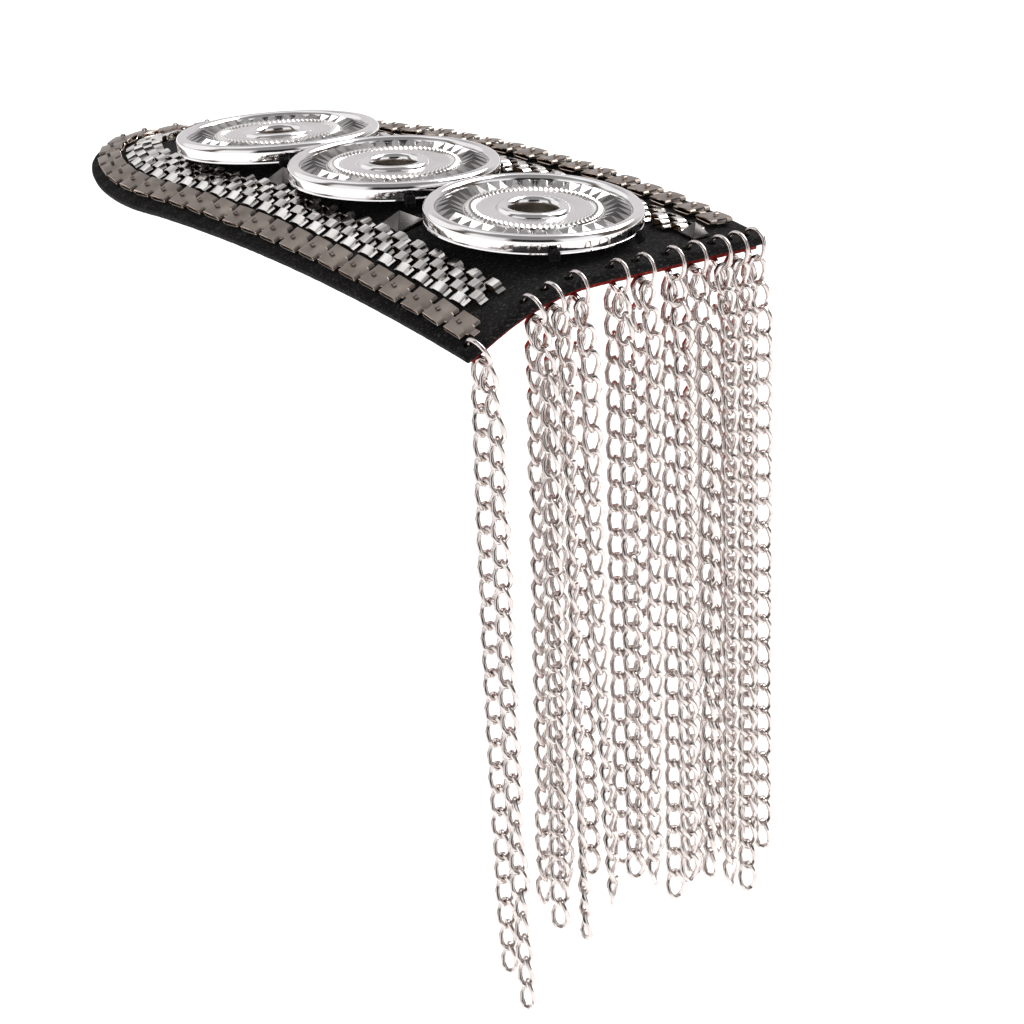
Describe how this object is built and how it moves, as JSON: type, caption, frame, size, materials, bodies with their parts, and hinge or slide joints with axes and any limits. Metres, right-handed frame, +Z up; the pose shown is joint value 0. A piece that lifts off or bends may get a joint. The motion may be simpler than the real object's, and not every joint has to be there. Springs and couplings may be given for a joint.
{
  "type": "chain-fringed shoulder epaulette",
  "caption": "Black felt shoulder epaulette with pressed chrome discs, plate and mesh chain borders and a fringe of curb chain.",
  "frame": {"origin": "on the underside of the backing felt, under the middle disc, where the piece sits and is pinned on the shoulder", "axes": "+X along the board from the neck end towards the fringe, -Y towards the drooping front side, +Z up, away from the shoulder"},
  "size_m": [0.179, 0.0764, 0.156],
  "materials": {
    "black_felt": "matte felt",
    "red_felt": "matte felt",
    "dark_plate": "satin gunmetal",
    "bright_mesh": "bright nickel",
    "disc_chrome": "polished",
    "stud_metal": "polished",
    "chain_silver": "bright nickel",
    "pin_steel": "plain"
  },
  "bodies": {
    "root": {"felt_board": "black_felt", "backing_felt": "red_felt", "plate_chain": "dark_plate", "mesh_chain": "bright_mesh", "disc_neck": "disc_chrome", "disc_middle": "disc_chrome", "disc_fringe": "disc_chrome", "stud_front_neck": "stud_metal", "stud_front_fringe": "stud_metal", "stud_back_neck": "stud_metal", "stud_back_fringe": "stud_metal", "stud_corner": "stud_metal", "jump_rings": "chain_silver", "brooch_bar": "pin_steel", "strand_01": "chain_silver", "strand_02": "chain_silver", "strand_03": "chain_silver", "strand_04": "chain_silver", "strand_05": "chain_silver", "strand_06": "chain_silver", "strand_07": "chain_silver", "strand_08": "chain_silver", "strand_09": "chain_silver", "strand_10": "chain_silver", "strand_11": "chain_silver", "strand_12": "chain_silver", "strand_13": "chain_silver", "strand_14": "chain_silver", "strand_15": "chain_silver", "strand_16": "chain_silver", "strand_17": "chain_silver", "strand_18": "chain_silver", "strand_19": "chain_silver", "strand_20": "chain_silver", "strand_21": "chain_silver", "strand_22": "chain_silver"}
  },
  "joints": []
}
